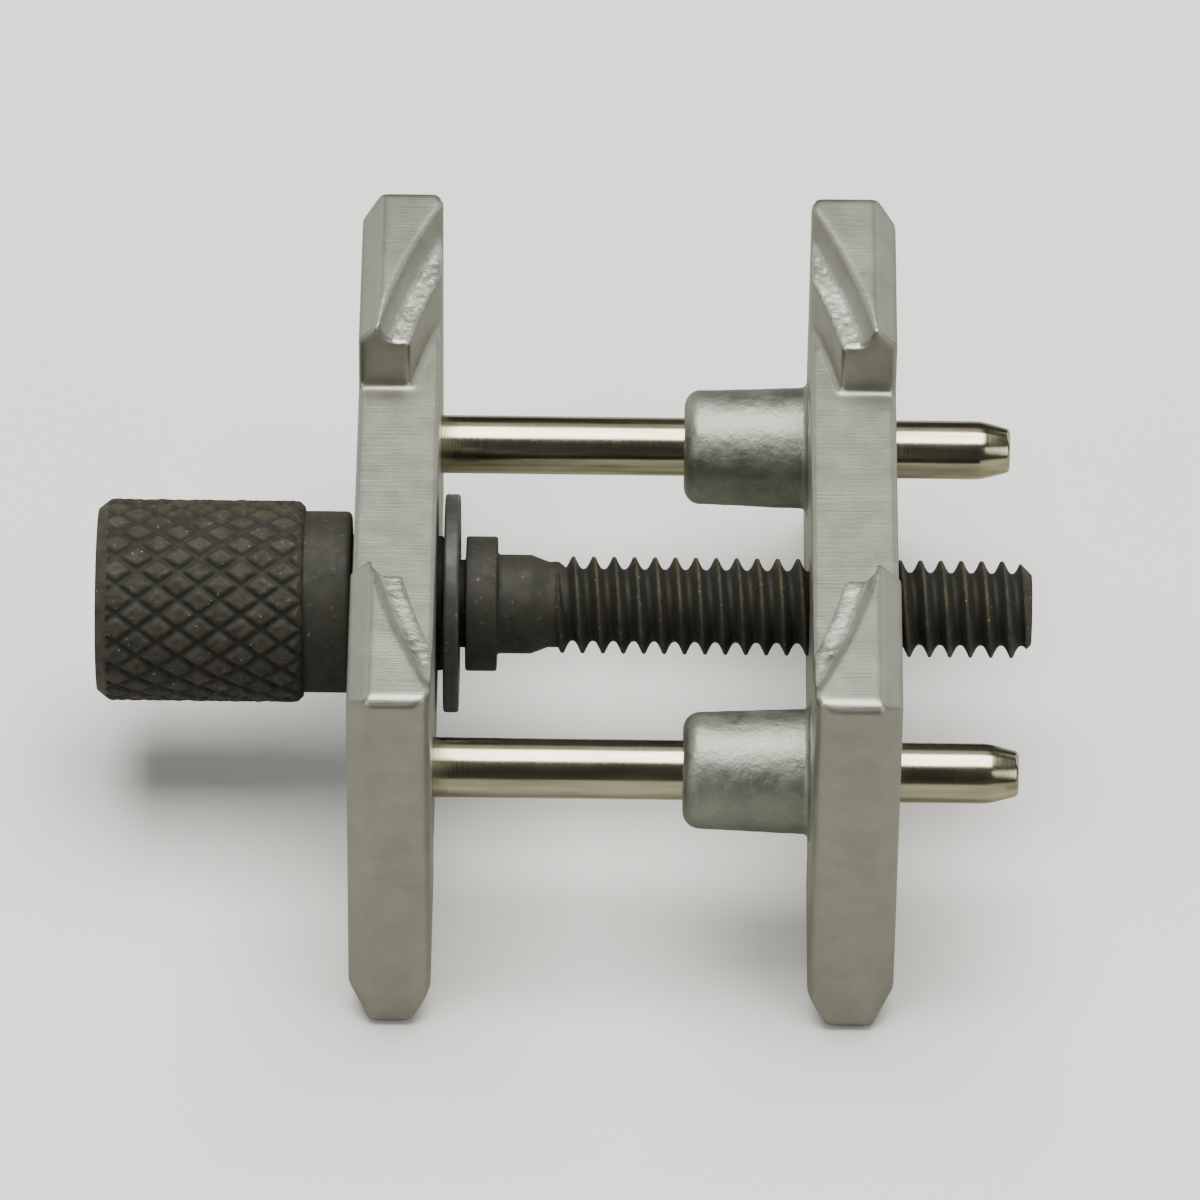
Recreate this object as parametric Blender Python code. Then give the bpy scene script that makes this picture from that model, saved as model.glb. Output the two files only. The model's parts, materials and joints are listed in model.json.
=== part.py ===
"""Reversible screw clamp that holds a watch movement while it is worked on.

Two stepped jaws stand on edge. The fixed jaw carries two guide pins and the journal of
a knurled clamping screw. The moving jaw slides on the pins and is threaded on the
screw, so turning the knob brings the jaws together or apart.

Frame: origin on the ground under the middle of the screw, +X along the screw from the
knob to its tip, +Y along the jaws, +Z up. Units are metres.
"""

import math

import bmesh
import bpy

MM = 0.001

# ---- Jaws ---------------------------------------------------------------------------
JAW_LENGTH = 37.0 * MM
JAW_HEIGHT = 21.6 * MM
FIXED_JAW_THICKNESS = 4.0 * MM
MOVING_JAW_THICKNESS = 4.2 * MM
JAW_GAP = 18.2 * MM  # between the inner faces at rest
OUTER_EDGE_CHAMFER = 1.05 * MM
END_EDGE_CHAMFER = 0.4 * MM
INNER_CORNER_CUT = 0.8 * MM
FOOT_CHAMFER_ACROSS = 1.2 * MM
FOOT_CHAMFER_UP = 1.9 * MM

# ---- Movement seats, cut in the top and the underside of each jaw -------------------
NOTCH_HALF_LENGTH = 8.3 * MM  # the middle of each jaw is cut away through its thickness
FLOOR_DEPTH = 4.0 * MM
LEDGE_DEPTH = 1.2 * MM
LIP_HEIGHT = 0.45 * MM
LEDGE_WIDTH = 1.0 * MM
WALL_SLOPE_RUN = 0.5 * MM
TOP_SEAT_RADIUS = 39.9 * MM
TOP_SEAT_REACH = 3.4 * MM  # how far the seat's arc reaches into the jaw at its middle
UNDER_SEAT_RADIUS = 26.0 * MM
UNDER_SEAT_REACH = 3.2 * MM

# ---- Guide pins ---------------------------------------------------------------------
PIN_DIAMETER = 2.9 * MM
PIN_SPACING = 23.2 * MM
PIN_PAST_JAW = 5.85 * MM  # from the moving jaw's outer face to the pin's tip
PIN_TIP_LENGTH = 1.45 * MM
PIN_TIP_DIAMETER = 2.15 * MM

# ---- Bosses on the moving jaw -------------------------------------------------------
BOSS_LENGTH = 6.1 * MM
BOSS_ROOT_DIAMETER = 5.95 * MM
BOSS_FRONT_DIAMETER = 5.5 * MM
BOSS_ROUNDING = 0.8 * MM
BOSS_EDGE_STEPS = 4

# ---- Clamping screw -----------------------------------------------------------------
KNOB_DIAMETER = 9.9 * MM
KNOB_LENGTH = 10.1 * MM
KNOB_CHAMFER = 0.6 * MM
COLLAR_DIAMETER = 8.9 * MM
COLLAR_LENGTH = 2.3 * MM
COLLAR_CHAMFER = 0.35 * MM
JOURNAL_DIAMETER = 6.6 * MM
JOURNAL_PAST_JAW = 0.3 * MM
GROOVE_DIAMETER = 4.3 * MM
GROOVE_WIDTH = 1.1 * MM
FLANGE_LENGTH = 1.55 * MM
SHOULDER_DIAMETER = 4.85 * MM
SHOULDER_LENGTH = 1.65 * MM
TAPER_LENGTH = 0.85 * MM
NECK_DIAMETER = 4.2 * MM
THREAD_LENGTH = 23.65 * MM
THREAD_DIAMETER = 4.75 * MM
THREAD_PITCH = 1.0 * MM
THREAD_DEPTH = 0.6 * MM
THREAD_FLAT = 0.13 * MM
SCREW_TIP_CHAMFER = 0.65 * MM

# ---- Retaining clip -----------------------------------------------------------------
CLIP_DIAMETER = 10.7 * MM
CLIP_THICKNESS = 0.75 * MM
CLIP_RIM_WIDTH = 1.5 * MM
CLIP_OPENING = 3.3 * MM
CLIP_LOBE_DEGREES = 26.0
CLIP_OPENING_DEGREES = 317.0  # where the mouth faces, from +Y towards +Z

# ---- Clearances ---------------------------------------------------------------------
PRESS_GAP = 0.03 * MM  # all round the pins in the fixed jaw
RUNNING_GAP = 0.06 * MM  # all round the pins in the moving jaw, and round the journal
THREAD_GAP = 0.1 * MM
COLLAR_GAP = 0.2 * MM
CLIP_GAP = 0.05 * MM

# ---- Fineness -----------------------------------------------------------------------
ROUND_SEGMENTS = 48
THREAD_SEGMENTS = 24
ARC_STEPS = 24
CUTTER_OVERHANG = 1.0 * MM

# ---- Places along X, in order from the knob's end -----------------------------------
SCREW_LENGTH = (
    KNOB_LENGTH
    + COLLAR_LENGTH
    + COLLAR_GAP
    + FIXED_JAW_THICKNESS
    + JOURNAL_PAST_JAW
    + GROOVE_WIDTH
    + FLANGE_LENGTH
    + SHOULDER_LENGTH
    + TAPER_LENGTH
    + THREAD_LENGTH
)
KNOB_END_X = -SCREW_LENGTH / 2
COLLAR_X = KNOB_END_X + KNOB_LENGTH
JOURNAL_X = COLLAR_X + COLLAR_LENGTH
FIXED_OUTER_X = JOURNAL_X + COLLAR_GAP
FIXED_INNER_X = FIXED_OUTER_X + FIXED_JAW_THICKNESS
GROOVE_X = FIXED_INNER_X + JOURNAL_PAST_JAW
FLANGE_X = GROOVE_X + GROOVE_WIDTH
SHOULDER_X = FLANGE_X + FLANGE_LENGTH
TAPER_X = SHOULDER_X + SHOULDER_LENGTH
THREAD_X = TAPER_X + TAPER_LENGTH
SCREW_TIP_X = THREAD_X + THREAD_LENGTH
MOVING_INNER_X = FIXED_INNER_X + JAW_GAP
MOVING_OUTER_X = MOVING_INNER_X + MOVING_JAW_THICKNESS
PIN_TIP_X = MOVING_OUTER_X + PIN_PAST_JAW
AXIS_Z = JAW_HEIGHT / 2
PIN_PLACES = {"far": PIN_SPACING / 2, "near": -PIN_SPACING / 2}


def clear_scene():
    """Remove whatever the open file holds."""
    for obj in list(bpy.data.objects):
        bpy.data.objects.remove(obj, do_unlink=True)


def metal(name, colour, roughness, metallic=1.0):
    """A Principled material of one colour."""
    material = bpy.data.materials.new(name)
    material.use_nodes = True
    shader = material.node_tree.nodes["Principled BSDF"]
    shader.inputs["Base Color"].default_value = (*colour, 1.0)
    shader.inputs["Roughness"].default_value = roughness
    shader.inputs["Metallic"].default_value = metallic
    return material


def add_object(name, mesh_builder, material=None):
    """Wrap a finished bmesh in an object, with its normals pointing out."""
    bmesh.ops.recalc_face_normals(mesh_builder, faces=mesh_builder.faces)
    if mesh_builder.calc_volume(signed=True) < 0:
        bmesh.ops.reverse_faces(mesh_builder, faces=mesh_builder.faces)
    mesh = bpy.data.meshes.new(name)
    mesh_builder.to_mesh(mesh)
    mesh_builder.free()
    mesh.shade_smooth()
    mesh.set_sharp_from_angle(angle=math.radians(30))
    if material:
        mesh.materials.append(material)
    obj = bpy.data.objects.new(name, mesh)
    bpy.context.scene.collection.objects.link(obj)
    return obj


def loft(name, rings, material=None):
    """A closed solid through rings of as many points each, with a flat cap at each end."""
    builder = bmesh.new()
    rows = [[builder.verts.new(point) for point in ring] for ring in rings]
    count = len(rows[0])
    for low, high in zip(rows, rows[1:]):
        for index in range(count):
            after = (index + 1) % count
            builder.faces.new((low[index], low[after], high[after], high[index]))
    builder.faces.new(rows[0])
    builder.faces.new(rows[-1])
    builder.normal_update()
    bmesh.ops.triangulate(builder, faces=[f for f in builder.faces if len(f.verts) > 4])
    return add_object(name, builder, material)


def turned(name, profile, y=0.0, material=None):
    """A solid turned about an axis along X at height AXIS_Z, from (x, radius) pairs."""
    rings = []
    for x, radius in profile:
        angles = (math.tau * step / ROUND_SEGMENTS for step in range(ROUND_SEGMENTS))
        rings.append(
            [(x, y + radius * math.cos(a), AXIS_Z + radius * math.sin(a)) for a in angles]
        )
    return loft(name, rings, material)


def as_cutter(obj):
    """Keep a helper out of renders."""
    obj.hide_render = True
    obj.display_type = "WIRE"
    return obj


def combine(obj, other, operation):
    """Add a Boolean modifier that works on obj with a helper."""
    modifier = obj.modifiers.new(f"{operation.lower()} {other.name}", "BOOLEAN")
    modifier.operation = operation
    modifier.solver = "EXACT"
    modifier.object = as_cutter(other)


def helical_rod(name, root_radius, crest_radius, start_x, end_x):
    """A right-hand threaded rod, whose ragged ends are cut off by what it is combined with.

    Every rod takes its phase from THREAD_X, so a tap and the screw are in mesh.
    """
    half_flank = (THREAD_PITCH - 2 * THREAD_FLAT) / 2
    stations = (
        (0.0, crest_radius),
        (THREAD_FLAT, crest_radius),
        (THREAD_FLAT + half_flank, root_radius),
        (2 * THREAD_FLAT + half_flank, root_radius),
    )
    first_turn = math.floor((start_x - THREAD_X) / THREAD_PITCH) - 2
    last_turn = math.ceil((end_x - THREAD_X) / THREAD_PITCH) + 1
    builder = bmesh.new()
    columns = []
    for column in range(THREAD_SEGMENTS):
        share = column / THREAD_SEGMENTS
        y = math.cos(math.tau * share)
        z = math.sin(math.tau * share)
        points = []
        for turn in range(first_turn, last_turn):
            for along, radius in stations:
                x = THREAD_X + (turn + share) * THREAD_PITCH + along
                points.append(builder.verts.new((x, radius * y, AXIS_Z + radius * z)))
        columns.append(points)
    per_turn = len(stations)
    rows = len(columns[0])
    for column in range(THREAD_SEGMENTS - 1):
        here, there = columns[column], columns[column + 1]
        for row in range(rows - 1):
            builder.faces.new((here[row], there[row], there[row + 1], here[row + 1]))
    # The last column meets the first one turn further on.
    here, there = columns[-1], columns[0]
    for row in range(rows - 1 - per_turn):
        shifted = row + per_turn
        builder.faces.new((here[row], there[shifted], there[shifted + 1], here[row + 1]))
    # Each end is closed by a fan to a point on the axis, past the ragged edge.
    start_loop = [column[0] for column in columns] + columns[0][per_turn:0:-1]
    end_loop = [column[-1] for column in columns] + columns[-1][-2 : -2 - per_turn : -1]
    start_fan_x = start_loop[0].co.x - THREAD_PITCH
    end_fan_x = end_loop[-1].co.x + 2 * THREAD_PITCH
    for loop, fan_x in ((start_loop, start_fan_x), (end_loop, end_fan_x)):
        point = builder.verts.new((fan_x, 0.0, AXIS_Z))
        for first, second in zip(loop, loop[1:] + loop[:1]):
            builder.faces.new((first, second, point))
    return add_object(name, builder)


def round_edge(x_at_face, radius_outside, rounding, direction):
    """The (x, radius) points of a quarter-round edge, from the face to the side."""
    points = []
    for step in range(BOSS_EDGE_STEPS + 1):
        angle = math.pi / 2 * step / BOSS_EDGE_STEPS
        x = x_at_face + direction * rounding * (1 - math.sin(angle))
        points.append((x, radius_outside - rounding * (1 - math.cos(angle))))
    return points[::-1]


def arc_ring(inner_x, side, radius, reach, z):
    """A seat's plan at height z: an arc that bulges into the jaw, closed in the gap.

    side is +1 where the jaw lies at +X of its inner face, and -1 where it lies at -X.
    """
    centre_x = inner_x + side * (reach - radius)
    edge_x = inner_x - side * CUTTER_OVERHANG
    half_angle = math.acos((edge_x - centre_x) * side / radius)
    ring = []
    for step in range(ARC_STEPS + 1):
        angle = half_angle * (2 * step / ARC_STEPS - 1)
        ring.append(
            (centre_x + side * radius * math.cos(angle), radius * math.sin(angle), z)
        )
    return ring


def cut_seat(jaw, inner_x, side, face, radius, reach):
    """Cut the floor, the ledge and the sloped wall of one movement seat.

    face is +1 for the top of the jaw and -1 for its underside.
    """
    surface_z = JAW_HEIGHT if face > 0 else 0.0

    def ring(depth, growth):
        z = surface_z - face * depth
        return arc_ring(inner_x, side, radius + growth, reach + growth, z)

    which = "top" if face > 0 else "under"
    floor = loft(
        f"{jaw.name}_{which}_floor_cutter",
        [ring(FLOOR_DEPTH, -LEDGE_WIDTH), ring(-CUTTER_OVERHANG, -LEDGE_WIDTH)],
    )
    rim = loft(
        f"{jaw.name}_{which}_rim_cutter",
        [
            ring(LEDGE_DEPTH, 0.0),
            ring(LIP_HEIGHT, WALL_SLOPE_RUN),
            ring(-CUTTER_OVERHANG, WALL_SLOPE_RUN),
        ],
    )
    combine(jaw, floor, "DIFFERENCE")
    combine(jaw, rim, "DIFFERENCE")


def jaw_blank(name, inner_x, side, thickness, material):
    """A jaw's block: its section, its plan and its front view, each pushed through.

    The front view holds the two notches, and the section holds the long chamfers.
    """
    outer_x = inner_x + side * thickness
    foot_x = inner_x + side * FOOT_CHAMFER_ACROSS
    shoulder_x = outer_x - side * OUTER_EDGE_CHAMFER
    half = JAW_LENGTH / 2
    section = [
        (inner_x, JAW_HEIGHT),
        (shoulder_x, JAW_HEIGHT),
        (outer_x, JAW_HEIGHT - OUTER_EDGE_CHAMFER),
        (outer_x, FOOT_CHAMFER_UP),
        (outer_x - side * FOOT_CHAMFER_ACROSS, 0.0),
        (foot_x, 0.0),
        (inner_x, FOOT_CHAMFER_UP),
    ]
    quarter_plan = [
        (inner_x, half - INNER_CORNER_CUT),
        (inner_x + side * INNER_CORNER_CUT / 3, half - INNER_CORNER_CUT / 3),
        (inner_x + side * INNER_CORNER_CUT, half),
        (shoulder_x, half),
        (outer_x, half - OUTER_EDGE_CHAMFER),
    ]
    plan = quarter_plan + [(x, -y) for x, y in reversed(quarter_plan)]
    low, high = FLOOR_DEPTH, JAW_HEIGHT - FLOOR_DEPTH
    notch = NOTCH_HALF_LENGTH
    end = half - END_EDGE_CHAMFER
    half_front = [
        (notch, high),
        (notch, JAW_HEIGHT),
        (end, JAW_HEIGHT),
        (half, JAW_HEIGHT - END_EDGE_CHAMFER),
        (half, END_EDGE_CHAMFER),
        (end, 0.0),
        (notch, 0.0),
        (notch, low),
    ]
    front = half_front + [(-y, z) for y, z in reversed(half_front)]
    over = CUTTER_OVERHANG
    jaw = loft(
        name,
        [[(x, y, z) for x, z in section] for y in (-half - over, half + over)],
        material,
    )
    plan_prism = loft(
        f"{name}_plan", [[(x, y, z) for x, y in plan] for z in (-over, JAW_HEIGHT + over)]
    )
    reach_x = (min(inner_x, outer_x) - over, max(inner_x, outer_x) + over)
    front_prism = loft(f"{name}_front", [[(x, y, z) for y, z in front] for x in reach_x])
    combine(jaw, plan_prism, "INTERSECT")
    combine(jaw, front_prism, "INTERSECT")
    cut_seat(jaw, inner_x, side, 1, TOP_SEAT_RADIUS, TOP_SEAT_REACH)
    cut_seat(jaw, inner_x, side, -1, UNDER_SEAT_RADIUS, UNDER_SEAT_REACH)
    return jaw


def bore(jaw, label, y, diameter, start_x, end_x):
    """Cut a round hole along X through a jaw."""
    ends = (start_x - CUTTER_OVERHANG, end_x + CUTTER_OVERHANG)
    profile = [(x, diameter / 2) for x in ends]
    combine(jaw, turned(f"{jaw.name}_{label}_bore", profile, y), "DIFFERENCE")


def make_fixed_jaw(material):
    """The jaw that carries the pins and the screw's journal."""
    jaw = jaw_blank("fixed_jaw", FIXED_INNER_X, -1, FIXED_JAW_THICKNESS, material)
    for label, y in PIN_PLACES.items():
        diameter = PIN_DIAMETER + 2 * PRESS_GAP
        bore(jaw, f"{label}_pin", y, diameter, FIXED_OUTER_X, FIXED_INNER_X)
    diameter = JOURNAL_DIAMETER + 2 * RUNNING_GAP
    bore(jaw, "journal", 0.0, diameter, FIXED_OUTER_X, FIXED_INNER_X)
    return jaw


def make_moving_jaw(material):
    """The jaw with the guide bosses and the thread."""
    jaw = jaw_blank("moving_jaw", MOVING_INNER_X, 1, MOVING_JAW_THICKNESS, material)
    front_x = MOVING_INNER_X - BOSS_LENGTH
    for label, y in PIN_PLACES.items():
        profile = round_edge(front_x, BOSS_FRONT_DIAMETER / 2, BOSS_ROUNDING, 1)
        profile.append((MOVING_INNER_X, BOSS_ROOT_DIAMETER / 2))
        profile.append((MOVING_INNER_X + CUTTER_OVERHANG, BOSS_ROOT_DIAMETER / 2))
        combine(jaw, turned(f"moving_jaw_{label}_boss", profile, y), "UNION")
    for label, y in PIN_PLACES.items():
        diameter = PIN_DIAMETER + 2 * RUNNING_GAP
        bore(jaw, f"{label}_pin", y, diameter, front_x, MOVING_OUTER_X)
    crest = THREAD_DIAMETER / 2 + THREAD_GAP
    root = crest - THREAD_DEPTH
    tap = helical_rod("moving_jaw_tap", root, crest, MOVING_INNER_X, MOVING_OUTER_X)
    combine(jaw, tap, "DIFFERENCE")
    return jaw


def make_guide_pin(label, y, material):
    """A plain pin with a bevelled tip, pressed into the fixed jaw."""
    radius = PIN_DIAMETER / 2
    profile = [
        (FIXED_OUTER_X, radius),
        (PIN_TIP_X - PIN_TIP_LENGTH, radius),
        (PIN_TIP_X, PIN_TIP_DIAMETER / 2),
    ]
    return turned(f"guide_pin_{label}", profile, y, material)


def make_clamping_screw(material):
    """Knob, collar, journal, clip groove, flange, shoulder and thread in one piece."""
    knob = KNOB_DIAMETER / 2
    collar = COLLAR_DIAMETER / 2
    journal = JOURNAL_DIAMETER / 2
    groove = GROOVE_DIAMETER / 2
    shoulder = SHOULDER_DIAMETER / 2
    neck = NECK_DIAMETER / 2
    crest = THREAD_DIAMETER / 2
    root = crest - THREAD_DEPTH
    core = root - THREAD_GAP
    profile = [
        (KNOB_END_X, knob - KNOB_CHAMFER),
        (KNOB_END_X + KNOB_CHAMFER, knob),
        (COLLAR_X, knob),
        (COLLAR_X, collar),
        (JOURNAL_X - COLLAR_CHAMFER, collar),
        (JOURNAL_X, collar - COLLAR_CHAMFER),
        (JOURNAL_X, journal),
        (GROOVE_X, journal),
        (GROOVE_X, groove),
        (FLANGE_X, groove),
        (FLANGE_X, journal),
        (SHOULDER_X, journal),
        (SHOULDER_X, shoulder),
        (TAPER_X, shoulder),
        (THREAD_X, neck),
        (THREAD_X + THREAD_PITCH / 2, neck),
        (THREAD_X + THREAD_PITCH, core),
        (THREAD_X + 2 * THREAD_PITCH, core),
    ]
    screw = turned("clamping_screw", profile, material=material)
    rod = helical_rod("clamping_screw_thread", root, crest, THREAD_X, SCREW_TIP_X)
    envelope = turned(
        "clamping_screw_thread_ends",
        [
            (THREAD_X + THREAD_PITCH / 4, crest + THREAD_GAP),
            (SCREW_TIP_X - SCREW_TIP_CHAMFER, crest + THREAD_GAP),
            (SCREW_TIP_X, crest - SCREW_TIP_CHAMFER),
        ],
    )
    combine(rod, envelope, "INTERSECT")
    combine(screw, rod, "UNION")
    return screw


def make_retaining_clip(material):
    """An E-shaped spring clip: a rim with three inward lobes that grip the groove."""
    outer = CLIP_DIAMETER / 2
    relief = outer - CLIP_RIM_WIDTH
    grip = GROOVE_DIAMETER / 2 + CLIP_GAP
    half_mouth = math.asin(CLIP_OPENING / 2 / relief)
    mouth = math.radians(CLIP_OPENING_DEGREES)
    half_lobe = math.radians(CLIP_LOBE_DEGREES) / 2
    outline = []
    for step in range(ROUND_SEGMENTS + 1):
        angle = half_mouth + (math.tau - 2 * half_mouth) * step / ROUND_SEGMENTS
        outline.append((outer, angle))
    inner = [(relief, math.tau - half_mouth)]
    for lobe in (math.tau * 3 / 4, math.pi, math.tau / 4):
        for radius, angle in (
            (relief, lobe + half_lobe),
            (grip, lobe + half_lobe),
            (grip, lobe),
            (grip, lobe - half_lobe),
            (relief, lobe - half_lobe),
        ):
            inner.append((radius, angle))
        if lobe > math.tau / 4:
            inner.append((relief, lobe - math.tau / 8))
    inner.append((relief, half_mouth))
    points = [
        (radius * math.cos(mouth + angle), AXIS_Z + radius * math.sin(mouth + angle))
        for radius, angle in outline + inner
    ]
    start_x = GROOVE_X + CLIP_GAP
    rings = [[(x, y, z) for y, z in points] for x in (start_x, start_x + CLIP_THICKNESS)]
    return loft("retaining_clip", rings, material)


def main():
    clear_scene()
    cast = metal("cast alloy", (0.42, 0.43, 0.43), 0.45)
    nickel = metal("nickel plate", (0.72, 0.69, 0.6), 0.18)
    black_oxide = metal("black oxide steel", (0.045, 0.038, 0.032), 0.5, 0.6)
    spring_steel = metal("oiled spring steel", (0.05, 0.06, 0.065), 0.4, 0.7)
    make_fixed_jaw(cast)
    make_moving_jaw(cast)
    for label, y in PIN_PLACES.items():
        make_guide_pin(label, y, nickel)
    make_clamping_screw(black_oxide)
    make_retaining_clip(spring_steel)


main()
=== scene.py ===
"""The looks of a reversible screw clamp for watch movements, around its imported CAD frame.

Every size is in metres. Pieces take their places from the frame's own boxes, and each
sub-assembly is a class that builds its meshes and dresses them.
"""

import json
import logging
import math
from collections.abc import Callable
from dataclasses import dataclass, field
from enum import Enum

import bmesh
import bpy
from mathutils import Matrix, Vector, noise

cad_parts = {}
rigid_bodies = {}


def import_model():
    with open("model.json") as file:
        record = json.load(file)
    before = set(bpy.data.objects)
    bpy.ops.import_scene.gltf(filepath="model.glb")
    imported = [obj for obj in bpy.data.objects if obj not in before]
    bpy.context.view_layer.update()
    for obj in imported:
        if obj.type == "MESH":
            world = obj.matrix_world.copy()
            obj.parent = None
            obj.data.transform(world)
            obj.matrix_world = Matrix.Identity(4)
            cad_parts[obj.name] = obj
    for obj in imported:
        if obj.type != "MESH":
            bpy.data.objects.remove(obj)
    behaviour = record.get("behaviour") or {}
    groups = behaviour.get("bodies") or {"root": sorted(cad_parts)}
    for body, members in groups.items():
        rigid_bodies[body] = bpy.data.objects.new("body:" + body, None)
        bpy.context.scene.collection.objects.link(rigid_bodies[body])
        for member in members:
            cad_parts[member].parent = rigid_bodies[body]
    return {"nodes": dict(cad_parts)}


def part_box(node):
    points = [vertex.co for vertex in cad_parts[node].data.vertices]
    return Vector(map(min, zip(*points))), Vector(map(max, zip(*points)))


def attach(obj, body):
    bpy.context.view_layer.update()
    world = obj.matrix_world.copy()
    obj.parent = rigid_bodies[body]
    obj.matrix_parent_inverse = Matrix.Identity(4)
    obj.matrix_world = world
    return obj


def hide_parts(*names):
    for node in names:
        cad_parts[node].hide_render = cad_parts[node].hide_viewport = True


MM = 0.001
MATH = "ShaderNodeMath"
NOISE = "ShaderNodeTexNoise"
# A colour Mix node has sockets of every type under the same names, so these are indices.
MIX_FIRST, MIX_SECOND, MIX_RESULT = 6, 7, 2
Socket = bpy.types.NodeSocket
log = logging.getLogger("movement_holder")


# ---- Small helpers ------------------------------------------------------------------


def linear_colour(hex_colour: str) -> tuple[float, float, float, float]:
    """Turn an sRGB hex colour into the linear values that shaders take.

    Args:
        hex_colour: Six hex digits.

    Returns:
        Linear red, green and blue, and an alpha of 1.
    """
    channels = []
    for start in (0, 2, 4):
        value = int(hex_colour[start : start + 2], 16) / 255
        if value <= 0.04045:
            channels.append(value / 12.92)
        else:
            channels.append(((value + 0.055) / 1.055) ** 2.4)
    return (*channels, 1.0)


def feed(
    tree: bpy.types.NodeTree, node: bpy.types.Node, inputs: dict[str | int, object]
) -> None:
    """Give a node's inputs their values and links.

    Args:
        tree: The node's tree.
        node: The node.
        inputs: Socket name or index to a value, or to the output socket that feeds it.
    """
    for key, value in inputs.items():
        socket = node.inputs[key]
        if isinstance(value, Socket):
            tree.links.new(value, socket)
        else:
            socket.default_value = value


def add_node(
    tree: bpy.types.NodeTree,
    kind: str,
    inputs: dict[str | int, object] | None = None,
    **settings: object,
) -> bpy.types.Node:
    """Add a node with its settings and links.

    Args:
        tree: The tree that gets the node.
        kind: The node's type name.
        inputs: Socket name or index to a value, or to the output socket that feeds it.
        settings: Attributes of the node itself.

    Returns:
        The new node.
    """
    node = tree.nodes.new(kind)
    for key, value in settings.items():
        setattr(node, key, value)
    feed(tree, node, inputs or {})
    return node


def new_material(name: str) -> tuple[bpy.types.Material, bpy.types.NodeTree, Socket]:
    """Start a material.

    Args:
        name: The material's name.

    Returns:
        The material, its node tree and the Object coordinates that patterns lie on.
    """
    material = bpy.data.materials.new(name)
    material.use_nodes = True
    place = add_node(material.node_tree, "ShaderNodeTexCoord").outputs["Object"]
    return material, material.node_tree, place


def colour_stops(ramp: bpy.types.Node, *stops: tuple[float, str]) -> Socket:
    """Set a colour ramp's stops.

    Args:
        ramp: The ramp's node.
        stops: The place and the hex colour of each stop.

    Returns:
        The ramp's colour.
    """
    for element, (position, colour) in zip(ramp.color_ramp.elements, stops):
        element.position = position
        element.color = linear_colour(colour)
    return ramp.outputs["Color"]


def per(size: float) -> float:
    """The texture scale that gives features of this size on Object coordinates."""
    return 1 / size


def finished_object(name: str, mesh: bpy.types.Mesh) -> bpy.types.Object:
    """Link a mesh into the scene as an object at the origin.

    Args:
        name: The object's name.
        mesh: Its mesh, with its place in it.

    Returns:
        The object.
    """
    obj = bpy.data.objects.new(name, mesh)
    bpy.context.scene.collection.objects.link(obj)
    return obj


def face_outwards(builder: bmesh.types.BMesh) -> None:
    """Make every face of a closed bmesh point out."""
    bmesh.ops.recalc_face_normals(builder, faces=builder.faces)
    if builder.calc_volume(signed=True) < 0:
        bmesh.ops.reverse_faces(builder, faces=builder.faces)


def shade(mesh: bpy.types.Mesh, sharp_degrees: float) -> None:
    """Shade a mesh smooth, except over edges that turn more than an angle."""
    mesh.shade_smooth()
    mesh.set_sharp_from_angle(angle=math.radians(sharp_degrees))


def mesh_from(name: str, builder: bmesh.types.BMesh, sharp_degrees: float = 30) -> bpy.types.Mesh:
    """Turn a bmesh into a mesh that is shaded smooth between its sharp edges.

    Args:
        name: The mesh's name.
        builder: The bmesh, which is freed.
        sharp_degrees: Edges that turn more than this stay sharp.

    Returns:
        The mesh.
    """
    face_outwards(builder)
    mesh = bpy.data.meshes.new(name)
    builder.to_mesh(mesh)
    builder.free()
    shade(mesh, sharp_degrees)
    return mesh


def move_points(mesh: bpy.types.Mesh, places: list[Vector]) -> None:
    """Give a mesh's points new places, one for each in order."""
    mesh.vertices.foreach_set("co", [value for place in places for value in place])
    mesh.update()


def applied(obj: bpy.types.Object) -> bpy.types.Object:
    """Replace an object's mesh by what its modifiers make of it, and remove them.

    Args:
        obj: The object, which is changed.

    Returns:
        The same object.
    """
    graph = bpy.context.evaluated_depsgraph_get()
    mesh = bpy.data.meshes.new_from_object(obj.evaluated_get(graph), depsgraph=graph)
    obj.modifiers.clear()
    obj.data = mesh
    mesh.name = obj.name
    return obj


# ---- Finishes -----------------------------------------------------------------------


class Machining(Enum):
    """How an alloy surface was left."""

    MILLED = "milled"
    AS_CAST = "as cast"


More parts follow.
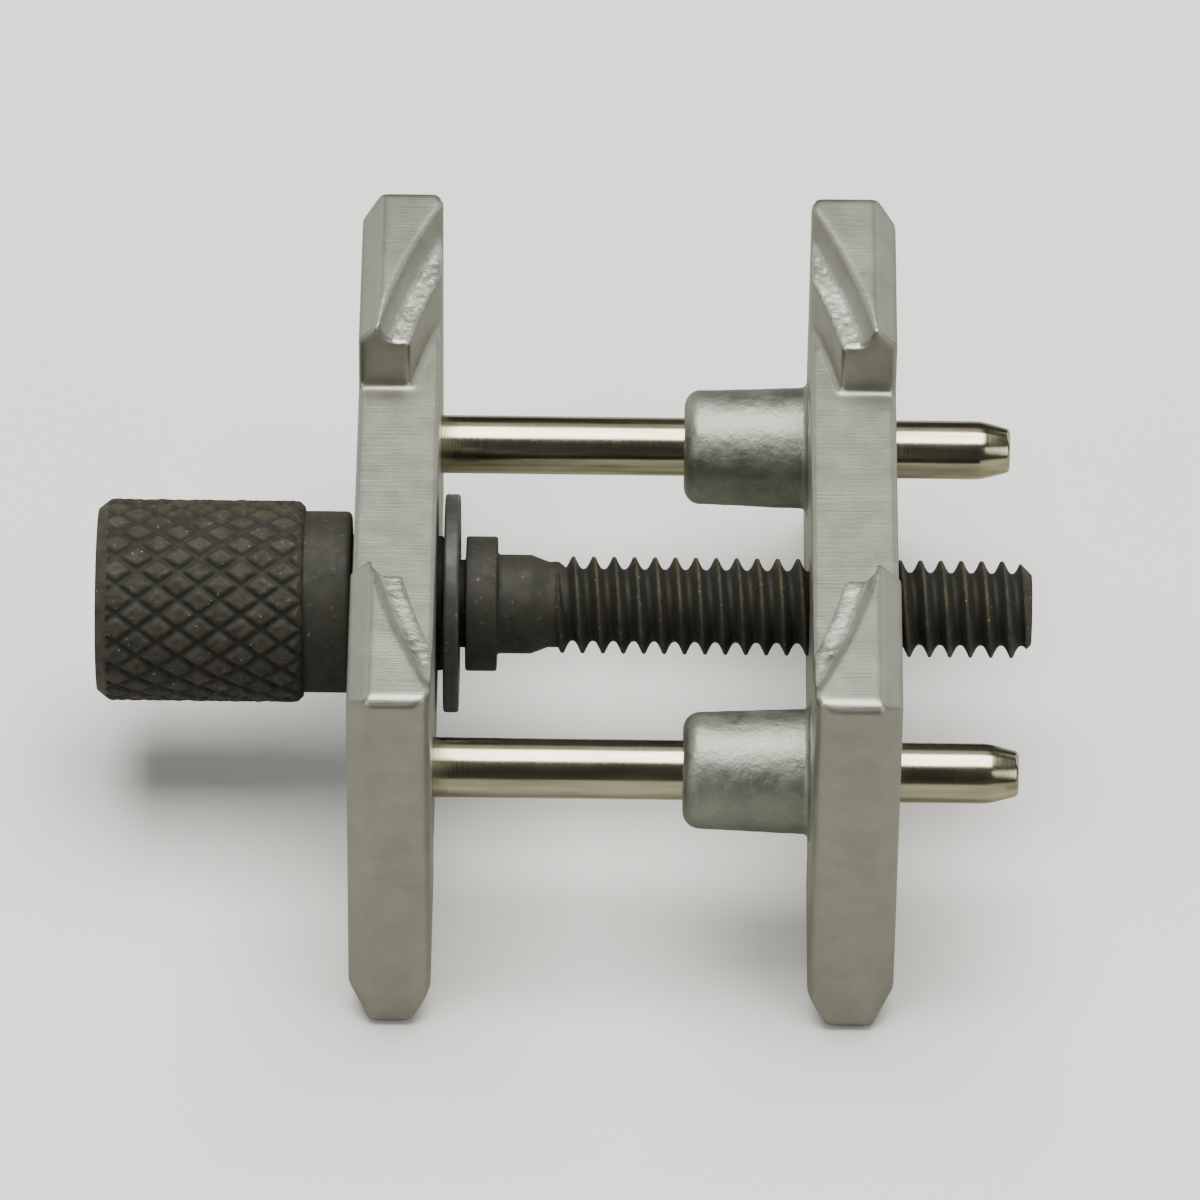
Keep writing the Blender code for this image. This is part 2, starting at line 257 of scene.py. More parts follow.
@dataclass(frozen=True)
class AlloyFinish:
    """Die-cast light alloy, a grey metal with a satin face.

    Milled faces keep fine cutter lines across the jaw. As-cast faces keep the grainy
    skin of the die, which glints where it was rubbed. Real cutter lines are about half
    this pitch, and these are as coarse as they need to be to show.
    """

    name: str
    machining: Machining
    light: str
    dark: str
    roughness: tuple[float, float]
    bump: float
    line_length: float = 3.0 * MM
    line_pitch: float = 0.09 * MM
    die_grain: float = 0.3 * MM
    blotch: float = 1.6 * MM
    pit: float = 0.14 * MM
    line_tone: float = 0.22
    pit_height: float = 0.5
    relief: float = 0.05 * MM

    def material(self) -> bpy.types.Material:
        """Build the material.

        Returns:
            Metal whose tone and gloss follow its blotches, and whose relief follows
            its lines or its grain.
        """
        material, tree, place = new_material(self.name)
        if self.machining is Machining.MILLED:
            sides = (self.line_length, self.line_pitch, self.line_pitch)
        else:
            sides = (self.die_grain, self.die_grain, self.die_grain)
        stretch = tuple(per(side) for side in sides)
        stretched = add_node(
            tree, "ShaderNodeMapping", {"Vector": place, "Scale": stretch}
        ).outputs["Vector"]
        lines = add_node(
            tree, NOISE, {"Vector": stretched, "Scale": 1.0, "Detail": 3.0}
        ).outputs["Fac"]
        blotches = add_node(
            tree,
            NOISE,
            {"Vector": place, "Scale": per(self.blotch), "Detail": 4.0, "Roughness": 0.6},
        ).outputs["Fac"]
        pits = add_node(
            tree, NOISE, {"Vector": place, "Scale": per(self.pit), "Detail": 2.0}
        ).outputs["Fac"]
        tone = add_node(
            tree, MATH, {0: lines, 1: self.line_tone, 2: blotches}, operation="MULTIPLY_ADD"
        ).outputs[0]
        height = add_node(
            tree, MATH, {0: pits, 1: self.pit_height, 2: lines}, operation="MULTIPLY_ADD"
        ).outputs[0]
        ramp = add_node(tree, "ShaderNodeValToRGB", {"Fac": tone})
        gloss = add_node(
            tree,
            "ShaderNodeMapRange",
            {
                "Value": blotches,
                "From Min": 0.3,
                "From Max": 0.7,
                "To Min": self.roughness[0],
                "To Max": self.roughness[1],
            },
        )
        bump = add_node(
            tree,
            "ShaderNodeBump",
            {"Height": height, "Strength": self.bump, "Distance": self.relief},
        )
        surface = {
            "Metallic": 1.0,
            "Base Color": colour_stops(ramp, (0.42, self.dark), (0.8, self.light)),
            "Roughness": gloss.outputs["Result"],
            "Normal": bump.outputs["Normal"],
        }
        feed(tree, tree.nodes["Principled BSDF"], surface)
        return material


@dataclass(frozen=True)
class NickelFinish:
    """Bright nickel plate on ground steel: a warm mirror with faint grinding rings."""

    name: str
    colour: str
    stain: str
    ring_pitch: float = 0.07 * MM
    ring_length: float = 2.5 * MM
    streak_length: float = 6.0 * MM
    streak_width: float = 0.5 * MM
    roughness: tuple[float, float] = (0.1, 0.26)
    relief: float = 0.02 * MM

    def material(self) -> bpy.types.Material:
        """Build the material.

        Returns:
            Metal with rings round the pin and faint stains along it.
        """
        material, tree, place = new_material(self.name)
        patterns = []
        for sides, detail in (
            ((self.ring_pitch, self.ring_length, self.ring_length), 2.0),
            ((self.streak_length, self.streak_width, self.streak_width), 3.0),
        ):
            stretch = tuple(per(side) for side in sides)
            stretched = add_node(
                tree, "ShaderNodeMapping", {"Vector": place, "Scale": stretch}
            ).outputs["Vector"]
            pattern = add_node(tree, NOISE, {"Vector": stretched, "Scale": 1.0, "Detail": detail})
            patterns.append(pattern.outputs["Fac"])
        rings, streaks = patterns
        ramp = add_node(tree, "ShaderNodeValToRGB", {"Fac": streaks})
        gloss = add_node(
            tree,
            "ShaderNodeMapRange",
            {"Value": rings, "To Min": self.roughness[0], "To Max": self.roughness[1]},
        )
        bump = add_node(
            tree, "ShaderNodeBump", {"Height": rings, "Strength": 0.12, "Distance": self.relief}
        )
        surface = {
            "Metallic": 1.0,
            "Base Color": colour_stops(ramp, (0.3, self.stain), (0.6, self.colour)),
            "Roughness": gloss.outputs["Result"],
            "Normal": bump.outputs["Normal"],
        }
        feed(tree, tree.nodes["Principled BSDF"], surface)
        return material


@dataclass(frozen=True)
class OxideFinish:
    """A thin chemical skin on steel: matt, nearly black, and lighter where rubbed.

    crest_name names a vertex attribute that is 1 on crests, which are the first to
    wear, and 0 in roots, which keep the darkest colour.
    """

    name: str
    dark: str
    brown: str
    rubbed: str
    roughness: float
    metallic: float = 0.0
    crest_name: str = ""
    patch: float = 0.9 * MM
    speck: float = 0.22 * MM
    gloss_spread: float = 0.08
    relief: float = 0.03 * MM

    def material(self) -> bpy.types.Material:
        """Build the material.

        Returns:
            Dull steel in two dark tones, with small rubbed specks.
        """
        material, tree, place = new_material(self.name)
        patches = add_node(
            tree,
            NOISE,
            {"Vector": place, "Scale": per(self.patch), "Detail": 5.0, "Roughness": 0.65},
        ).outputs["Fac"]
        specks = add_node(
            tree, NOISE, {"Vector": place, "Scale": per(self.speck), "Detail": 2.0}
        ).outputs["Fac"]
        ramp = add_node(tree, "ShaderNodeValToRGB", {"Fac": patches})
        colour = colour_stops(ramp, (0.25, self.dark), (0.66, self.brown))
        wear = add_node(
            tree, "ShaderNodeMapRange", {"Value": specks, "From Min": 0.68, "From Max": 0.76}
        ).outputs["Result"]
        if self.crest_name:
            crest = add_node(
                tree, "ShaderNodeAttribute", attribute_name=self.crest_name
            ).outputs["Fac"]
            wear = add_node(tree, MATH, {0: wear, 1: crest}, operation="MULTIPLY").outputs[0]
            colour = add_node(
                tree,
                "ShaderNodeMix",
                {"Factor": crest, MIX_FIRST: linear_colour(self.dark), MIX_SECOND: colour},
                data_type="RGBA",
            ).outputs[MIX_RESULT]
        mix = add_node(
            tree,
            "ShaderNodeMix",
            {"Factor": wear, MIX_FIRST: colour, MIX_SECOND: linear_colour(self.rubbed)},
            data_type="RGBA",
        )
        gloss = add_node(
            tree,
            "ShaderNodeMapRange",
            {
                "Value": patches,
                "From Min": 0.3,
                "From Max": 0.7,
                "To Min": self.roughness + self.gloss_spread,
                "To Max": self.roughness - self.gloss_spread,
            },
        )
        bump = add_node(
            tree, "ShaderNodeBump", {"Height": specks, "Strength": 0.25, "Distance": self.relief}
        )
        surface = {
            "Metallic": self.metallic,
            "Base Color": mix.outputs[MIX_RESULT],
            "Roughness": gloss.outputs["Result"],
            "Normal": bump.outputs["Normal"],
        }
        feed(tree, tree.nodes["Principled BSDF"], surface)
        return material


@dataclass(frozen=True)
class FloorFinish:
    """Matt white paint on the floor, which metals see as a dimmer card: a painted shade in their
    reflections.

    That stands in for the dark flags that keep a white table out of bright metal.
    """

    name: str
    colour: str
    reflection_shade: str
    roughness: float = 0.9

    def material(self) -> bpy.types.Material:
        """Build the material.

        Returns:
            Matt paint that mirror-like rays meet in a darker colour, a painted shade in their
            reflections.
        """
        material, tree, _ = new_material(self.name)
        mirrored = add_node(tree, "ShaderNodeLightPath").outputs["Is Glossy Ray"]
        colours = {
            MIX_FIRST: linear_colour(self.colour),
            MIX_SECOND: linear_colour(self.reflection_shade),
        }
        mix = add_node(tree, "ShaderNodeMix", {"Factor": mirrored, **colours}, data_type="RGBA")
        surface = {"Roughness": self.roughness, "Base Color": mix.outputs[MIX_RESULT]}
        feed(tree, tree.nodes["Principled BSDF"], surface)
        return material


# Light alloy with its faces milled: satin grey, a soft sheen and fine lines across.
MILLED_ALLOY = AlloyFinish(
    "milled_alloy", Machining.MILLED, "b3b4a9", "a3a499", roughness=(0.4, 0.45), bump=0.2
)
# The same alloy as the die left it: cloudy and softly lumpy, with broad glints.
CAST_ALLOY = AlloyFinish(
    "cast_alloy", Machining.AS_CAST, "a8aaa1", "8a8d85", roughness=(0.44, 0.58), bump=0.6
)
# The same cast alloy in a lighter colour for the ledges above and below: painted light, as bright
# as the lit ledges look, and it sparkles along its grain.
LEDGE_ALLOY_PAINTED_LIGHT = AlloyFinish(
    "cast_ledge_painted_light", Machining.AS_CAST, "d6d7cc", "a8a99e", roughness=(0.36, 0.52), bump=0.6
)
# Bright nickel plate on ground steel: a warm, slightly yellow mirror.
NICKEL = NickelFinish("nickel_plate", "cdc8ae", "9c9a7a")
# Black oxide over a rolled knurl and a cut thread: brown-black crests over black roots.
BLACK_OXIDE = OxideFinish(
    "black_oxide_knurl", "181a13", "3d392b", "857e6d", roughness=0.75, crest_name="crest"
)
# Black oxide on turned steel: an even, dull olive black with a few pale specks.
BLACK_OXIDE_PLAIN = OxideFinish(
    "black_oxide_turned", "1e2019", "2c2b22", "5d584c", roughness=0.7
)
# Oiled spring steel, blued and stamped: bluer than the screw, with a faint metal sheen.
SPRING_STEEL = OxideFinish(
    "oiled_spring_steel", "2a2f2b", "414741", "6d766f", roughness=0.5, metallic=0.2
)
# Flat white paint on a board: a plain pale ground, with a painted darker shade that only
# reflections in the metals see.
FLOOR_PAINT = FloorFinish("white_floor_paint", "fdfdfc", "a1a19b")


@dataclass(frozen=True)
class Metals:
    """Every material of the object, built once."""

    milled: bpy.types.Material
    cast: bpy.types.Material
    # The cast alloy in a lighter colour: painted light on the ledges.
    ledge: bpy.types.Material
    nickel: bpy.types.Material
    knurled: bpy.types.Material
    turned: bpy.types.Material
    spring: bpy.types.Material


# ---- Turned shapes ------------------------------------------------------------------


@dataclass
class Turning:
    """A solid turned about an axis along X.

    points are (x, radius) pairs in order; fillets gives a rounding radius under the
    index of its point. A ring's profile is closed on itself, and others end in discs.
    """

    axis_y: float
    axis_z: float
    points: list[tuple[float, float]]
    fillets: dict[int, float]
    is_ring: bool = False
    fillet_steps: int = 6
    longest_step: float = 1.0
    segments: int = 128
    sharp_degrees: float = 40.0

    def outline(self) -> list[tuple[float, float]]:
        """Work out the profile's roundings and divide its long runs.

        Returns:
            The profile's (x, radius) pairs.
        """
        outline = []
        for index, point in enumerate(self.points):
            radius = self.fillets.get(index, 0.0)
            if not radius:
                outline.append(Vector(point))
                continue
            here = Vector(point)
            following = (index + 1) % len(self.points)
            before = (Vector(self.points[index - 1]) - here).normalized()
            after = (Vector(self.points[following]) - here).normalized()
            half = before.angle(after) / 2
            reach = radius / math.tan(half)
            centre = here + (before + after).normalized() * radius / math.sin(half)
            first, last = here + before * reach - centre, here + after * reach - centre
            for step in range(self.fillet_steps + 1):
                spoke = first.lerp(last, step / self.fillet_steps).normalized() * radius
                outline.append(centre + spoke)
        ends = outline[1:] + (outline[:1] if self.is_ring else [])
        divided = []
        for here, there in zip(outline, ends):
            parts = max(1, math.ceil((there - here).length / self.longest_step))
            divided += [tuple(here.lerp(there, part / parts)) for part in range(parts)]
        return divided if self.is_ring else [*divided, tuple(outline[-1])]

    def mesh(self, name: str) -> bpy.types.Mesh:
        """Build the closed mesh.

        Args:
            name: The mesh's name.

        Returns:
            The mesh, shaded smooth between its sharp edges.
        """
        builder = bmesh.new()
        rings = []
        for x, radius in self.outline():
            ring = []
            for step in range(self.segments):
                angle = math.tau * step / self.segments
                y = self.axis_y + radius * math.cos(angle)
                z = self.axis_z + radius * math.sin(angle)
                ring.append(builder.verts.new((x, y, z)))
            rings.append(ring)
        following = rings[1:] + (rings[:1] if self.is_ring else [])
        for low, high in zip(rings, following):
            for step in range(self.segments):
                after = (step + 1) % self.segments
                builder.faces.new((low[step], low[after], high[after], high[step]))
        if not self.is_ring:
            builder.faces.new(rings[0])
            builder.faces.new(rings[-1])
        return mesh_from(name, builder, self.sharp_degrees)


# ---- Geometry Nodes shapes ----------------------------------------------------------


@dataclass
class WrappedTree:
    """A Geometry Nodes tree that wraps a grid round an axis along X.

    It sets up the grid and the inputs that the knurl and the thread share; the radius
    comes from a rule that each shape gives.
    """

    name: str
    sizes: dict[str, float]
    around: int
    along: int
    sharp_degrees: float = 50.0
    merge_distance: float = 0.001 * MM
    tree: bpy.types.NodeTree = field(init=False)
    given: bpy.types.NodeOutputs = field(init=False)

    def add(
        self, kind: str, inputs: dict[str | int, object] | None = None, **settings: object
    ) -> bpy.types.NodeOutputs:
        """Add a node to this tree.

        Args:
            kind: The node's type name.
            inputs: As add_node takes them.
            settings: Attributes of the node itself.

        Returns:
            The new node's outputs.
        """
        return add_node(self.tree, kind, inputs, **settings).outputs

    def build(
        self,
        radius_rule: Callable[["WrappedTree", Socket, Socket], tuple[Socket, Socket]],
        material: bpy.types.Material,
    ) -> bpy.types.Mesh:
        """Run the tree once and return its plain mesh.

        Args:
            radius_rule: Takes the tree, the turn share and the distance along X, and
                returns the radius socket and the crest socket.
            material: What the surface is made of.

        Returns:
            A closed mesh whose points carry a crest attribute.
        """
        self.tree = bpy.data.node_groups.new(self.name, "GeometryNodeTree")
        values = self.interface()
        self.given = self.add("NodeGroupInput")
        counts = {"Vertices X": self.around + 1, "Vertices Y": self.along + 1}
        grid = self.add("GeometryNodeMeshGrid", {"Size X": 1.0, "Size Y": 1.0, **counts})
        position = self.add("GeometryNodeInputPosition")[0]
        split = self.add("ShaderNodeSeparateXYZ", {0: position})
        turn = self.add(MATH, {0: split["X"], 1: 0.5}, operation="ADD")[0]
        share = self.add(MATH, {0: split["Y"], 1: 0.5}, operation="ADD")[0]
        distance = self.add(MATH, {0: share, 1: self.given["Length"]}, operation="MULTIPLY")[0]
        radius, crest = radius_rule(self, turn, distance)
        marked = self.add(
            "GeometryNodeStoreNamedAttribute",
            {"Geometry": grid["Mesh"], "Name": "crest", "Value": crest},
        )["Geometry"]
        wrapped = self.add(
            "GeometryNodeSetPosition",
            {"Geometry": marked, "Position": self.round_axis(turn, distance, radius)},
        )["Geometry"]
        closed = self.add(
            "GeometryNodeMergeByDistance", {"Geometry": wrapped, "Distance": self.merge_distance}
        )["Geometry"]
        real = self.add("GeometryNodeRealizeInstances", {"Geometry": closed})["Geometry"]
        dressed = self.add("GeometryNodeSetMaterial", {"Geometry": real, "Material": material})
        self.add("NodeGroupOutput", {"Geometry": dressed["Geometry"]})
        holder = finished_object(self.name, bpy.data.meshes.new(self.name))
        modifier = holder.modifiers.new(self.name, "NODES")
        modifier.node_group = self.tree
        for identifier, value in values.items():
            modifier[identifier] = value
        mesh = applied(holder).data
        bpy.data.objects.remove(holder)
        return self.capped(mesh)

    def interface(self) -> dict[str, float]:
        """Give the tree its geometry sockets and a named input for each size.

        Returns:
            Each input's value under its socket's identifier.
        """
        sockets = self.tree.interface
        for direction in ("INPUT", "OUTPUT"):
            sockets.new_socket(
                "Geometry", in_out=direction, socket_type="NodeSocketGeometry"
            )
        values = {}
        for label, value in self.sizes.items():
            socket = sockets.new_socket(label, in_out="INPUT", socket_type="NodeSocketFloat")
            values[socket.identifier] = value
        return values

    def round_axis(self, turn: Socket, distance: Socket, radius: Socket) -> Socket:
        """Lay a point out round the axis.

        Args:
            turn: The share of a turn round the axis.
            distance: The distance from the shape's start.
            radius: The distance from the axis.

        Returns:
            The point's place.
        """
        angle = self.add(MATH, {0: turn, 1: math.tau}, operation="MULTIPLY")[0]
        level = self.add(MATH, {0: angle}, operation="COSINE")[0]
        upright = self.add(MATH, {0: angle}, operation="SINE")[0]
        x = self.add(MATH, {0: distance, 1: self.given["Start X"]}, operation="ADD")[0]
        y = self.add(MATH, {0: radius, 1: level}, operation="MULTIPLY")[0]
        above = self.add(MATH, {0: radius, 1: upright}, operation="MULTIPLY")[0]
        z = self.add(MATH, {0: above, 1: self.given["Axis Z"]}, operation="ADD")[0]
        return self.add("ShaderNodeCombineXYZ", {"X": x, "Y": y, "Z": z})[0]

    def capped(self, mesh: bpy.types.Mesh) -> bpy.types.Mesh:
        """Close the two open ends of the wrapped grid.

        Args:
            mesh: The mesh, which is changed.

        Returns:
            The same mesh.
        """
        builder = bmesh.new()
        builder.from_mesh(mesh)
        bmesh.ops.holes_fill(builder, edges=builder.edges, sides=0)
        face_outwards(builder)
        builder.to_mesh(mesh)
        builder.free()
        shade(mesh, self.sharp_degrees)
        return mesh


# ---- Sub-assemblies -----------------------------------------------------------------


def from_cad(node: str) -> bmesh.types.BMesh:
    """Copy a CAD node's mesh, with its loose triangles merged into whole faces.

    Args:
        node: The CAD node's name.

    Returns:
        The merged copy.
    """
    builder = bmesh.new()
    builder.from_mesh(FRAME["nodes"][node].data)
    bmesh.ops.remove_doubles(builder, verts=builder.verts, dist=0.001 * MM)
    bmesh.ops.dissolve_degenerate(builder, edges=builder.edges, dist=0.005 * MM)
    bmesh.ops.dissolve_limit(
        builder, angle_limit=math.radians(0.7), verts=builder.verts, edges=builder.edges
    )
    return builder


def show(piece: bpy.types.Object, body: str, node: str) -> None:
    """Hang a finished piece on its body, and report it.

    Args:
        piece: The piece.
        body: The body that it rides on.
        node: The CAD node that it stands for.
    """
    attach(piece, body)
    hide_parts(node)
    log.info("%s: %d faces on %s", piece.name, len(piece.data.polygons), body)


@dataclass
class Jaw:
    """One cast jaw, taken from its CAD solid, with its edges tumbled round.

    The solid is remeshed finely and relaxed, which rounds every edge by about a voxel,
    as tumbling and the die's own radii do.
    """

    node: str
    voxel: float = 0.165 * MM
    relaxations: int = 4
    ledge_depth: float = 1.2 * MM
    ledge_reach: float = 0.16 * MM
    least_level: float = 0.6
    notch_half: float = 8.3 * MM
    ledge_grain: float = 0.32 * MM
    ledge_relief: float = 0.045 * MM

    def build(self, metals: Metals) -> None:
        """Make the jaw's piece and hang it on its body.

        Args:
            metals: The object's materials.
        """
        low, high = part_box(self.node)
        mesh = mesh_from(f"{self.node}_body", from_cad(self.node))
        mesh.materials.clear()
        piece = finished_object(f"{self.node}_body", mesh)
        remesh = piece.modifiers.new("fine skin", "REMESH")
        remesh.mode = "VOXEL"
        remesh.voxel_size = self.voxel
        relax = piece.modifiers.new("tumbled edges", "SMOOTH")
        relax.factor = 0.5
        relax.iterations = self.relaxations
        mesh = applied(piece).data
        move_points(mesh, [self.lifted(vertex, low, high) for vertex in mesh.vertices])
        mesh.shade_smooth()
        mesh.materials.append(metals.milled)
        # The ledges get the lighter alloy, which is painted light on them.
        mesh.materials.append(metals.ledge)
        for polygon in mesh.polygons:
            on_ledge = self.is_ledge(polygon.center, polygon.normal, low, high)
            polygon.material_index = 1 if on_ledge else 0
        show(piece, self.node, self.node)

    def is_ledge(self, place: Vector, normal: Vector, low: Vector, high: Vector) -> bool:
        """Whether a spot lies on one of the narrow ledges that carry the movement.

        Args:
            place: The spot.
            normal: The surface's direction there.
            low: The jaw's lowest corner.
            high: The jaw's highest corner.

        Returns:
            True on a ledge, above or below.
        """
        depth = min(high.z - place.z, place.z - low.z)
        is_level = abs(normal.z) > self.least_level
        is_at_depth = abs(depth - self.ledge_depth) < self.ledge_reach
        return is_level and is_at_depth and abs(place.y) > self.notch_half - self.ledge_reach

    def lifted(self, vertex: bpy.types.MeshVertex, low: Vector, high: Vector) -> Vector:
        """Raise or sink a point by the die's grain where it is on a ledge.

        Args:
            vertex: The point.
            low: The jaw's lowest corner.
            high: The jaw's highest corner.

        Returns:
            The point's new place.
        """
        if not self.is_ledge(vertex.co, vertex.normal, low, high):
            return vertex.co.copy()
        grain = noise.noise(vertex.co / self.ledge_grain)
        return vertex.co + vertex.normal * grain * self.ledge_relief


@dataclass
class BossSkin:
    """The cast, drafted boss round a guide bore, with the grain of the die on it.

    Its front and its root stand just proud of the CAD boss, so that only this skin
    shows, and its foot is buried in the jaw.
    """

    name: str
    axis_y: float
    axis_z: float
    front_x: float
    length: float = 6.1 * MM
    root_radius: float = 3.0 * MM
    front_radius: float = 2.77 * MM
    bore_radius: float = 1.5 * MM
    front_rounding: float = 0.8 * MM
    bore_rounding: float = 0.12 * MM
    root_fillet: float = 0.4 * MM
    buried: float = 0.3 * MM
    front_proud: float = 0.01 * MM
    root_proud: float = 0.005 * MM
    coarse_grain: float = 0.99 * MM
    fine_grain: float = 0.265 * MM
    fine_share: float = 0.45
    relief: float = 0.028 * MM

    def build(self, metals: Metals) -> None:
        """Turn the skin, roughen it and hang it on the moving jaw.

        Args:
            metals: The object's materials.
        """
        front_x = self.front_x - self.front_proud
        root_x = self.front_x + self.length - self.root_proud
        foot_x = self.front_x + self.length + self.buried
        flare = self.root_radius + self.root_fillet
        profile = Turning(
            self.axis_y,
            self.axis_z,
            [
                (front_x, self.bore_radius),
                (front_x, self.front_radius),
                (root_x, self.root_radius),
                (root_x, flare),
                (foot_x, flare),
                (foot_x, self.bore_radius),
            ],
            # The root's fillet stops just short of the whole flare.
            fillets={
                0: self.bore_rounding,
                1: self.front_rounding,
                2: self.root_fillet * 0.95,
            },
            is_ring=True,
            fillet_steps=10,
            longest_step=0.15 * MM,
        )
        mesh = profile.mesh(self.name)
        move_points(
            mesh, [vertex.co + vertex.normal * self.rise(vertex.co) for vertex in mesh.vertices]
        )
        mesh.materials.append(metals.cast)
        show(finished_object(self.name, mesh), "moving_jaw", "moving_jaw")

    def rise(self, point: Vector) -> float:
        """How far the grain of the die lifts the skin at a point.

        Args:
            point: The point.

        Returns:
            The lift, which is never inwards, and none in the bore.
        """
        from_axis = math.hypot(point.y - self.axis_y, point.z - self.axis_z)
        if from_axis < self.bore_radius * 1.1:
            return 0.0
        coarse = noise.noise(point / self.coarse_grain)
        fine = noise.noise(point / self.fine_grain)
        return max(0.0, self.relief * (1.0 + coarse + self.fine_share * fine))


@dataclass
class GuidePin:
    """A ground and plated pin with a bevelled tip."""

    node: str
    tip_length: float = 1.45 * MM
    tip_radius: float = 1.075 * MM
    centre_radius: float = 0.2 * MM
    butt_rounding: float = 0.12 * MM
    shoulder_rounding: float = 2.5 * MM
    tip_rounding: float = 0.24 * MM

    def build(self, metals: Metals) -> None:
        """Turn the pin and hang it on the fixed jaw.

        Args:
            metals: The object's materials.
        """
        low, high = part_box(self.node)
        middle = (low + high) / 2
        radius = (high.z - low.z) / 2
        profile = Turning(
            middle.y,
            middle.z,
            [
                (low.x, self.centre_radius),
                (low.x, radius),
                (high.x - self.tip_length, radius),
                (high.x, self.tip_radius),
                (high.x, self.centre_radius),
            ],
            fillets={1: self.butt_rounding, 2: self.shoulder_rounding, 3: self.tip_rounding},
        )
        mesh = profile.mesh(f"{self.node}_plated")
        mesh.materials.append(metals.nickel)
        show(finished_object(f"{self.node}_plated", mesh), "fixed_jaw", self.node)


@dataclass
class KnurledKnob:
    """The knob: a turned band at its outer end and a diamond knurl to the other."""

    start_x: float
    axis_z: float
    length: float
    radius: float = 4.95 * MM
    band: float = 0.62 * MM
    band_drop: float = 0.5 * MM
    band_edge: float = 0.155 * MM
    inner_rounding: float = 0.3 * MM
    diamonds_around: int = 21
    diamond_length: float = 2.03 * MM
    groove_depth: float = 0.2 * MM
    groove_share: float = 0.24
    wear_per_diamond: float = 5.0
    least_height: float = 0.55
    wear_spread: float = 0.7
    chamfer_blend: float = 0.1 * MM
    edge_blend: float = 0.12 * MM
    steps_per_diamond: int = 18
    steps_along: int = 150

    def build(self, metals: Metals) -> None:
        """Wrap the knurl and hang it on the screw.

        Args:
            metals: The object's materials.
        """
        tree = WrappedTree(
            "knob_knurled",
            {
                "Length": self.length,
                "Start X": self.start_x,
                "Axis Z": self.axis_z,
                "Radius": self.radius,
                "Diamond length": self.diamond_length,
                "Groove depth": self.groove_depth,
            },
            around=self.diamonds_around * self.steps_per_diamond,
            along=self.steps_along,
        )
        mesh = tree.build(self.radius_rule, metals.knurled)
        show(finished_object("knob_knurled", mesh), "screw", "clamping_screw")

    def radius_rule(
        self, tree: WrappedTree, turn: Socket, distance: Socket
    ) -> tuple[Socket, Socket]:
        """Two families of crossing grooves under the envelope of the turned blank.

        Args:
            tree: The tree that gets the nodes.
            turn: The share of a turn round the axis.
            distance: The distance from the knob's outer end.

        Returns:
            The radius, and the height of the knurl from 0 to 1.
        """
        height = self.knurl_height(tree, turn, distance)
        lost = tree.add(MATH, {0: 1.0, 1: height}, operation="SUBTRACT")[0]
        sunk = tree.add(MATH, {0: lost, 1: tree.given["Groove depth"]}, operation="MULTIPLY")[0]
        knurled = tree.add(MATH, {0: tree.given["Radius"], 1: sunk}, operation="SUBTRACT")[0]
        slope = self.band_drop / self.band
        outer = tree.add(
            MATH,
            {0: distance, 1: slope, 2: self.radius - self.band_drop},
            operation="MULTIPLY_ADD",
        )[0]
        to_collar = tree.add(MATH, {0: tree.given["Length"], 1: distance}, operation="SUBTRACT")[0]
        inner = tree.add(
            MATH, {0: to_collar, 1: self.radius - self.inner_rounding}, operation="ADD"
        )[0]
        envelope = tree.add(
            MATH, {0: outer, 1: inner, 2: self.chamfer_blend}, operation="SMOOTH_MIN"
        )[0]
        radius = tree.add(
            MATH, {0: knurled, 1: envelope, 2: self.edge_blend}, operation="SMOOTH_MIN"
        )[0]
        return radius, height

    def knurl_height(self, tree: WrappedTree, turn: Socket, distance: Socket) -> Socket:
        """The diamonds' height, worn unevenly, with a plain band at the outer end.

        Args:
            tree: The tree that gets the nodes.
            turn: The share of a turn round the axis.
            distance: The distance from the knob's outer end.

        Returns:
            The height, from 0 in a groove to about 1 on a diamond and 1 on the band.
        """
        count = float(self.diamonds_around)
        around = tree.add(MATH, {0: turn, 1: count}, operation="MULTIPLY")[0]
        length = tree.given["Diamond length"]
        along = tree.add(MATH, {0: distance, 1: length}, operation="DIVIDE")[0]
        flanks = []
        for operation in ("ADD", "SUBTRACT"):
            across = tree.add(MATH, {0: around, 1: along}, operation=operation)[0]
            from_groove = tree.add(MATH, {0: across, 1: 0.5}, operation="PINGPONG")[0]
            flank = tree.add(
                "ShaderNodeMapRange",
                {"Value": from_groove, "From Min": 0.0, "From Max": self.groove_share},
                interpolation_type="SMOOTHSTEP",
            )["Result"]
            flanks.append(flank)
        unrolled = tree.add("ShaderNodeCombineXYZ", {"X": around, "Y": along})[0]
        worn = tree.add(
            NOISE,
            {"Vector": unrolled, "Scale": self.wear_per_diamond, "Detail": 3.0},
            noise_dimensions="2D",
        )["Fac"]
        uneven = tree.add(
            MATH,
            {0: worn, 1: self.wear_spread, 2: self.least_height},
            operation="MULTIPLY_ADD",
        )[0]
        diamonds = tree.add(MATH, {0: flanks[0], 1: flanks[1]}, operation="MULTIPLY")[0]
        height = tree.add(MATH, {0: diamonds, 1: uneven}, operation="MULTIPLY")[0]
        in_band = tree.add(
            "ShaderNodeMapRange",
            {"Value": distance, "From Min": self.band, "From Max": self.band - self.band_edge},
        )["Result"]
        return tree.add(MATH, {0: height, 1: in_band}, operation="MAXIMUM")[0]


